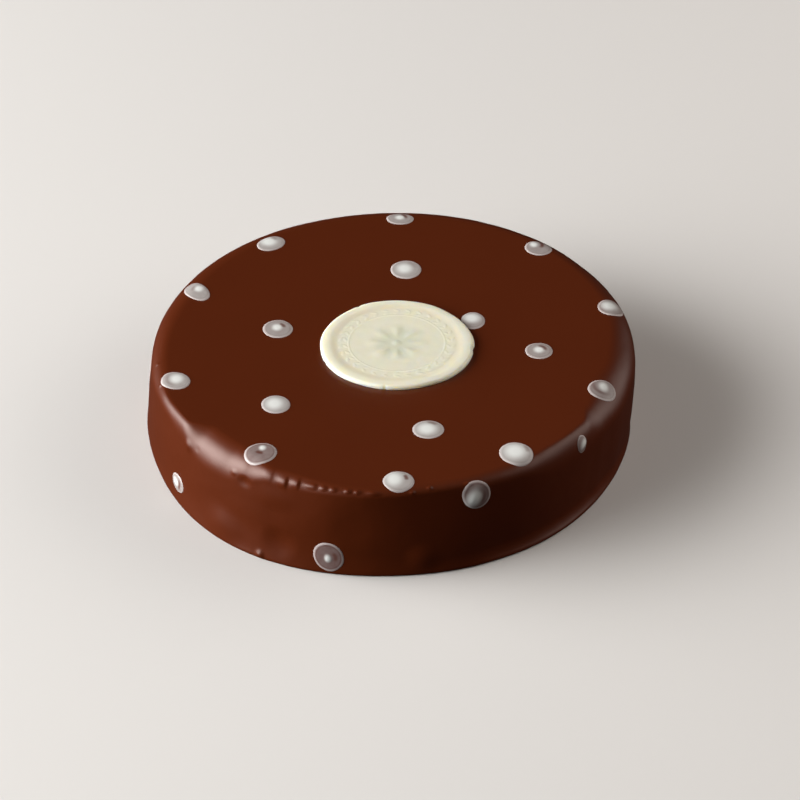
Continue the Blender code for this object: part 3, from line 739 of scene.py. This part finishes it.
# The seal is white chocolate cast in a stamp, with a raised rim, a wreath of leaves and a rosette.
seal = {
    "centre": (2.9 * mm, -3.5 * mm),
    "radius": 31.3 * mm,
    "crest": 28.2 * mm,  # the rim's highest line
    "brow": 30.0 * mm,  # where the rim turns down to its outer wall
    "plate": 24.2 * mm,
    "height": 2.0 * mm,
    "browDrop": 0.08 * mm,
    "wallFoot": 0.3 * mm,  # where the wall ends and the foot's bevel starts
    "wallPower": 0.8,  # 1 is an ellipse, and less is a squarer wall
    "foot": ((0.1 * mm, 0.1 * mm), (0.5 * mm, 0)),  # in from the radius, and up
    "plateHeight": 1.7 * mm,
    "waves": ((2, 0.5 * mm, 0), (3, 0.25 * mm, 100), (7, 0.12 * mm, 10), (13, 0.06 * mm, 5)),
    # azimuth, half arc, depth
    "nicks": ((122, 3, 0.5 * mm), (202, 3, 0.3 * mm), (261, 2.4, 0.35 * mm), (354, 5, 0.5 * mm)),
    "edgePower": 8,  # the waves and nicks grow this fast towards the edge
    "line": (19.9 * mm, 0.5 * mm, 0.1 * mm),  # a thin raised ring: radius, half width, rise
    "petals": (8, 3 * mm, 14 * mm, 0.22 * mm),  # count, inner and outer radius, rise
    "petalPower": 1.5,  # more is a slimmer petal
    "boss": (2.6 * mm, 0.3 * mm),  # radius, rise
    "steps": 640,
    "ringSpacing": 0.3 * mm,
    "browRings": 7,
    "wallRings": 16,
}


def sealHeight(radius, azimuth):
    share = np.clip((radius - seal["plate"]) / (seal["crest"] - seal["plate"]), 0, 1)
    rim = (seal["height"] - seal["plateHeight"]) * (0.5 - 0.5 * np.cos(share * math.pi))
    lineRadius, lineWidth, lineRise = seal["line"]
    line = lineRise * bump(radius - lineRadius, lineWidth)
    count, inner, outer, rise = seal["petals"]
    along = bump(radius - (inner + outer) / 2, (outer - inner) / 2)
    across = 0.5 + 0.5 * np.cos(count * np.radians(azimuth))
    bossRadius, bossRise = seal["boss"]
    boss = bossRise * bump(radius, bossRadius)
    return seal["plateHeight"] + rim + line + rise * along * across ** seal["petalPower"] + boss


def makeSeal():
    azimuth = np.arange(seal["steps"]) * 360 / seal["steps"]
    zeros = 0 * azimuth
    crest, brow, edge, top = seal["crest"], seal["brow"], seal["radius"], seal["height"]
    rows = []
    for radius in np.arange(seal["ringSpacing"], crest, seal["ringSpacing"]):
        rows.append((zeros + radius, sealHeight(radius, azimuth)))
    for share in np.arange(seal["browRings"]) / seal["browRings"]:
        rows.append((zeros + crest + (brow - crest) * share, zeros + top - seal["browDrop"] * share ** 2))
    for share in np.linspace(0, 1, seal["wallRings"]):
        turn = share * math.pi / 2
        wall = (top - seal["browDrop"] - seal["wallFoot"]) * math.cos(turn) ** seal["wallPower"]
        rows.append((zeros + brow + (edge - brow) * math.sin(turn), zeros + seal["wallFoot"] + wall))
    for inset, up in (*seal["foot"], (edge / 2, 0)):
        rows.append((zeros + edge - inset, zeros + up))
    radius, height = np.moveaxis(np.array(rows), 1, 0)
    nick = sum(depth * bump((azimuth - at + 180) % 360 - 180, arc) for at, arc, depth in seal["nicks"])
    uneven = waves(seal["waves"], azimuth) - nick
    radius = radius + uneven * (radius / seal["radius"]) ** seal["edgePower"]
    turn = np.radians(azimuth)
    x, y = seal["centre"]
    base = torte["height"]
    rings = np.stack([x + radius * np.cos(turn), y + radius * np.sin(turn), base + height], -1)
    mesh = polarMesh("creamSeal", (x, y, base + float(sealHeight(0, 0))), rings, (x, y, base))
    return newObject("creamSeal", mesh)


sealFinish = {
    "Roughness": 0.45,
    "Specular IOR Level": 0.3,
    "Subsurface Weight": 1.0,
    "Subsurface Radius": (1.0, 0.8, 0.5),
    "Subsurface Scale": 5 * mm,
}
sealLook = {
    "plate": "#eee2c8",
    "paintedCreaseShade": ("#ebdcc1", 22.5 * mm, 25.5 * mm),  # painted shade where the plate meets the foot of the rim: colour, and from none to full at these radii
    "rim": ("#efe3cb", 25.5 * mm, 28.5 * mm),
    "tint": ("#d7d5be", 19 * mm, 9 * mm),
    "drift": 9 * mm,  # how far clouds move the tint's edge
    "cloudSize": 7 * mm,
}


# Cast white chocolate: cream, with a soft sheen, a faint grey green tint towards the middle, slightly paler
# on the rim, and painted shade darkening the plate where it meets the rim's foot.
def sealMaterial():
    material, tree, shader = newMaterial("castWhiteChocolate", sealFinish)
    place = addNode(tree, "ShaderNodeTexCoord").outputs["Object"]
    middle = (*seal["centre"], torte["height"])
    away = addNode(tree, "ShaderNodeVectorMath", {0: place, 1: middle}, operation="DISTANCE").outputs["Value"]
    cloud = addNode(tree, "ShaderNodeTexNoise", {
        "Vector": place, "Scale": 1 / sealLook["cloudSize"], "Detail": 3.0})
    drift = addNode(tree, "ShaderNodeMath", {0: cloud, 1: sealLook["drift"], 2: away},
                    operation="MULTIPLY_ADD")
    colour = linear(sealLook["plate"])
    # the plate darkens with painted shade towards the rim's foot, turns paler on the rim, and takes the tint
    # towards the middle
    for name, radius in (("paintedCreaseShade", away), ("rim", away), ("tint", drift)):
        shade, start, end = sealLook[name]
        share = addNode(tree, "ShaderNodeMapRange", {"Value": radius, "From Min": start, "From Max": end},
                        interpolation_type="SMOOTHSTEP")
        mixed = addNode(tree, "ShaderNodeMix", {"Factor": share, "A": colour, "B": linear(shade)},
                        data_type="RGBA")
        colour = mixed.outputs["Result"]
    tree.links.new(colour, shader.inputs["Base Color"])
    return material


# Geometry Nodes: a wreath of leaves in pairs, pressed softly into a slightly uneven plate
wreath = {
    "Material": ("NodeSocketMaterial", None),
    "Leaf Pairs": ("NodeSocketFloat", 30.0),
    "Wreath Radius": ("NodeSocketFloat", 22.3 * mm),
    "Leaf Length": ("NodeSocketFloat", 3.6 * mm),
    "Leaf Width": ("NodeSocketFloat", 1.5 * mm),
    "Leaf Rise": ("NodeSocketFloat", 0.09 * mm),
    "Leaf Splay": ("NodeSocketFloat", math.radians(32)),
    "Splay Change": ("NodeSocketFloat", 0.3),  # from one pair to the next, in radians
    "Stem Gap": ("NodeSocketFloat", 0.6),  # from the stem to a leaf's middle, as a share of its width
    "Unevenness": ("NodeSocketFloat", 0.12 * mm),
    "Uneven Size": ("NodeSocketFloat", 6 * mm),
    "Seed": ("NodeSocketFloat", 4.0),
}
leafFade = {"From Min": 0.575, "From Max": 0.15}  # none to full, as a share of a leaf's length and width
faceFade = {"From Min": 0.5 * mm, "From Max": 1.2 * mm}  # the underside stays flat, and the face rises


def wreathTree():
    tree, given = newTree("sealWreath", wreath)
    place = addNode(tree, "GeometryNodeInputPosition")
    middle = (*seal["centre"], torte["height"])
    away = addNode(tree, "ShaderNodeVectorMath", {0: place, 1: middle}, operation="SUBTRACT")
    x, y, up = addNode(tree, "ShaderNodeSeparateXYZ", {0: away}).outputs
    flat = addNode(tree, "ShaderNodeCombineXYZ", {0: x, 1: y})
    radius = addNode(tree, "ShaderNodeVectorMath", {0: flat}, operation="LENGTH").outputs["Value"]

    # which pair a point belongs to, and what chance gives that pair
    pitch = addNode(tree, "ShaderNodeMath", {0: 2 * math.pi, 1: given["Leaf Pairs"]}, operation="DIVIDE")
    turn = addNode(tree, "ShaderNodeMath", {0: y, 1: x}, operation="ARCTAN2")
    pairs = addNode(tree, "ShaderNodeMath", {0: turn, 1: pitch}, operation="DIVIDE")
    number = addNode(tree, "ShaderNodeMath", {0: pairs}, operation="FLOOR")
    draw = addNode(tree, "ShaderNodeMath", {0: number, 1: given["Seed"]}, operation="ADD")
    chance = addNode(tree, "ShaderNodeTexWhiteNoise", {"W": draw}, noise_dimensions="1D").outputs["Value"]
    centred = addNode(tree, "ShaderNodeMath", {0: chance, 1: 0.5}, operation="SUBTRACT")
    splay = addNode(tree, "ShaderNodeMath", {0: centred, 1: given["Splay Change"], 2: given["Leaf Splay"]},
                    operation="MULTIPLY_ADD")

    # from the nearer leaf's middle: round the wreath and out from the stem, then along the leaf and across
    within = addNode(tree, "ShaderNodeMath", {0: pairs, 1: number}, operation="SUBTRACT")
    within = addNode(tree, "ShaderNodeMath", {0: within, 1: 0.5}, operation="SUBTRACT")
    pairLength = addNode(tree, "ShaderNodeMath", {0: pitch, 1: given["Wreath Radius"]}, operation="MULTIPLY")
    along = addNode(tree, "ShaderNodeMath", {0: within, 1: pairLength}, operation="MULTIPLY")
    offStem = addNode(tree, "ShaderNodeMath", {0: radius, 1: given["Wreath Radius"]}, operation="SUBTRACT")
    offStem = addNode(tree, "ShaderNodeMath", {0: offStem}, operation="ABSOLUTE")
    gap = addNode(tree, "ShaderNodeMath", {0: given["Leaf Width"], 1: given["Stem Gap"]},
                  operation="MULTIPLY")
    out = addNode(tree, "ShaderNodeMath", {0: offStem, 1: gap}, operation="SUBTRACT")
    leafPlace = addNode(tree, "ShaderNodeCombineXYZ", {0: along, 1: out})
    turned = addNode(tree, "ShaderNodeVectorRotate", {"Vector": leafPlace, "Angle": splay},
                     rotation_type="Z_AXIS", invert=True)
    size = addNode(tree, "ShaderNodeCombineXYZ", {0: given["Leaf Length"], 1: given["Leaf Width"], 2: 1.0})
    sized = addNode(tree, "ShaderNodeVectorMath", {0: turned, 1: size}, operation="DIVIDE")
    far = addNode(tree, "ShaderNodeVectorMath", {0: sized}, operation="LENGTH").outputs["Value"]
    leaf = addNode(tree, "ShaderNodeMapRange", {"Value": far, **leafFade}, interpolation_type="SMOOTHSTEP")

    scale = addNode(tree, "ShaderNodeMath", {0: 1.0, 1: given["Uneven Size"]}, operation="DIVIDE")
    noise = addNode(tree, "ShaderNodeTexNoise", {"W": given["Seed"], "Scale": scale, "Detail": 2.0},
                    noise_dimensions="4D")
    centred = addNode(tree, "ShaderNodeMath", {0: noise, 1: 0.5}, operation="SUBTRACT")
    uneven = addNode(tree, "ShaderNodeMath", {0: centred, 1: given["Unevenness"]}, operation="MULTIPLY")
    lift = addNode(tree, "ShaderNodeMath", {0: leaf, 1: given["Leaf Rise"], 2: uneven},
                   operation="MULTIPLY_ADD")
    face = addNode(tree, "ShaderNodeMapRange", {"Value": up, **faceFade})
    raised = addNode(tree, "ShaderNodeMath", {0: lift, 1: face}, operation="MULTIPLY")
    offset = addNode(tree, "ShaderNodeCombineXYZ", {2: raised})
    moved = addNode(tree, "GeometryNodeSetPosition", {"Geometry": given["Geometry"], "Offset": offset})
    endTree(tree, moved, given["Material"])
    return tree


creamSeal = makeSeal()
useTree(creamSeal, wreathTree(), dict(wreath, Material=("", sealMaterial())))
settle(creamSeal)
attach(creamSeal, "root")
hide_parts("cream_seal")
print("seal made:", len(creamSeal.data.polygons), "faces")


# A pale floor, a large soft light on the left and a weaker one on the right
studio = {
    "floor": "#d9d6d2",
    "floorRadius": 6.0,
    "floorSides": 96,
    "worldSeen": "#cfccc8",
    "worldLight": 0.015,
    # azimuth, elevation, distance, width, height, watts, tint
    "keyLight": (186, 17.5, 2.1, 3.9, 2.7, 560, "#ffffff"),
    "fillLight": (10, 27, 1.5, 3.0, 2.2, 60, "#fff6f0"),
    "lightAim": (0, 0, 0.03),
    "lightEdge": 0.48,  # a light's edges fade over this share of it, like a cloth softbox's
}
floorFinish = {"Roughness": 0.9, "Specular IOR Level": 0.1}


def makeLight(name):
    azimuth, elevation, distance, width, height, watts, tint = studio[name]
    data = bpy.data.lights.new(name, "AREA")
    data.shape = "RECTANGLE"
    data.size, data.size_y = width, height
    data.energy = watts
    data.color = linear(tint)[:3]
    obj = newObject(name, data)
    turn, tilt = math.radians(azimuth), math.radians(elevation)
    away = Vector((math.cos(turn) * math.cos(tilt), math.sin(turn) * math.cos(tilt), math.sin(tilt)))
    obj.location = away * distance + Vector(studio["lightAim"])
    obj.rotation_euler = away.to_track_quat("Z", "Y").to_euler()
    obj.visible_camera = False
    data.use_nodes = True
    tree = data.node_tree
    tree.nodes.clear()
    place = addNode(tree, "ShaderNodeNewGeometry").outputs["Parametric"]
    fades = []
    for axis in addNode(tree, "ShaderNodeSeparateXYZ", {0: place}).outputs[:2]:
        inside = addNode(tree, "ShaderNodeMath", {0: 1.0, 1: axis}, operation="SUBTRACT")
        nearest = addNode(tree, "ShaderNodeMath", {0: axis, 1: inside}, operation="MINIMUM")
        fades.append(addNode(tree, "ShaderNodeMapRange", {"Value": nearest, "From Max": studio["lightEdge"]},
                             interpolation_type="SMOOTHSTEP"))
    fade = addNode(tree, "ShaderNodeMath", {0: fades[0], 1: fades[1]}, operation="MULTIPLY")
    glow = addNode(tree, "ShaderNodeEmission", {"Strength": fade})
    addNode(tree, "ShaderNodeOutputLight", {"Surface": glow})


def makeStudio():
    bpy.ops.mesh.primitive_circle_add(
        vertices=studio["floorSides"], radius=studio["floorRadius"], fill_type="NGON")
    floor = bpy.context.active_object
    floor.name = "floor"
    colour = {"Base Color": linear(studio["floor"])}
    floor.data.materials.append(newMaterial("palePaperFloor", {**floorFinish, **colour})[0])
    floor.visible_glossy = False
    floor.visible_diffuse = False
    world = bpy.data.worlds.new("studio")
    world.use_nodes = True
    bpy.context.scene.world = world
    tree = world.node_tree
    tree.nodes.clear()
    seen = addNode(tree, "ShaderNodeBackground", {"Color": linear(studio["worldSeen"]), "Strength": 1.0})
    light = addNode(tree, "ShaderNodeBackground", {"Color": (1, 1, 1, 1), "Strength": studio["worldLight"]})
    path = addNode(tree, "ShaderNodeLightPath")
    mixed = addNode(tree, "ShaderNodeMixShader", {0: path.outputs["Is Camera Ray"], 1: light, 2: seen})
    addNode(tree, "ShaderNodeOutputWorld", {"Surface": mixed})
    makeLight("keyLight")
    makeLight("fillLight")
    bpy.context.scene.view_settings.view_transform = "Standard"


makeStudio()
print("studio made")
